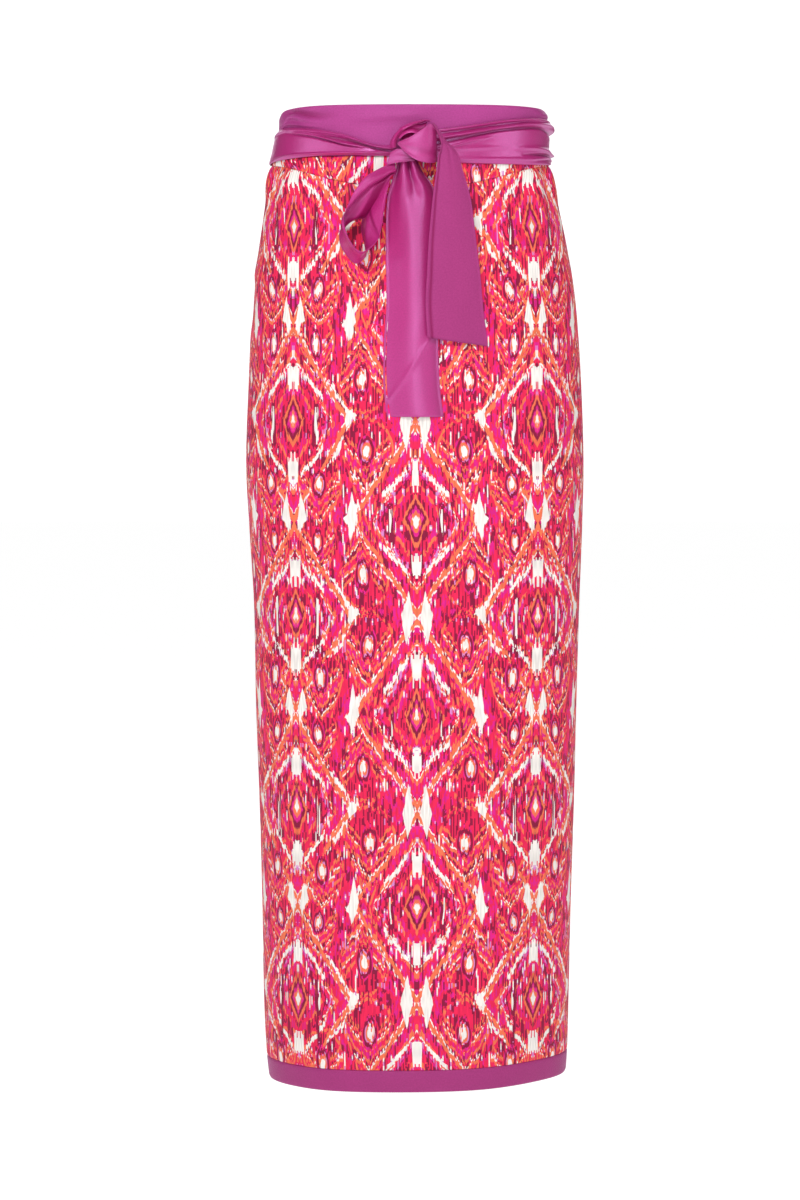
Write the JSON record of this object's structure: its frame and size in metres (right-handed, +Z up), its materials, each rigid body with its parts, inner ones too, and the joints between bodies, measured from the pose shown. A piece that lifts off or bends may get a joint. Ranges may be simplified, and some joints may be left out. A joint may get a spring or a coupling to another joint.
{
  "type": "tube sarong with tied waist sash",
  "caption": "Long printed tube sarong, worn form, with curved yoke, satin waistband, satin sash tied in a half bow at the front and a satin hem band.",
  "frame": {"origin": "centre of the waist opening, at the height where the waist holds the garment", "axes": "+Z up along the worn garment, the front faces -Y, +X is the right side of the picture"},
  "size_m": [0.3361, 0.2609, 0.9686],
  "materials": {
    "printed_silk": "soft matt silk crepe, ikat-style print",
    "satin": "smooth satin with a soft gloss"
  },
  "bodies": {
    "root": {"skirt_front": "printed_silk", "skirt_back": "printed_silk", "yoke_front": "printed_silk", "yoke_back": "printed_silk", "waistband_front": "satin", "waistband_back": "satin", "hem_band_front": "satin", "hem_band_back": "satin", "sash_left": "satin", "sash_right": "satin", "sash_back": "satin", "knot_core": "satin", "knot_wrap": "satin", "knot_arch": "satin", "knot_under": "satin", "bow_loop": "satin", "tail_long": "satin", "tail_short": "satin"}
  },
  "joints": []
}
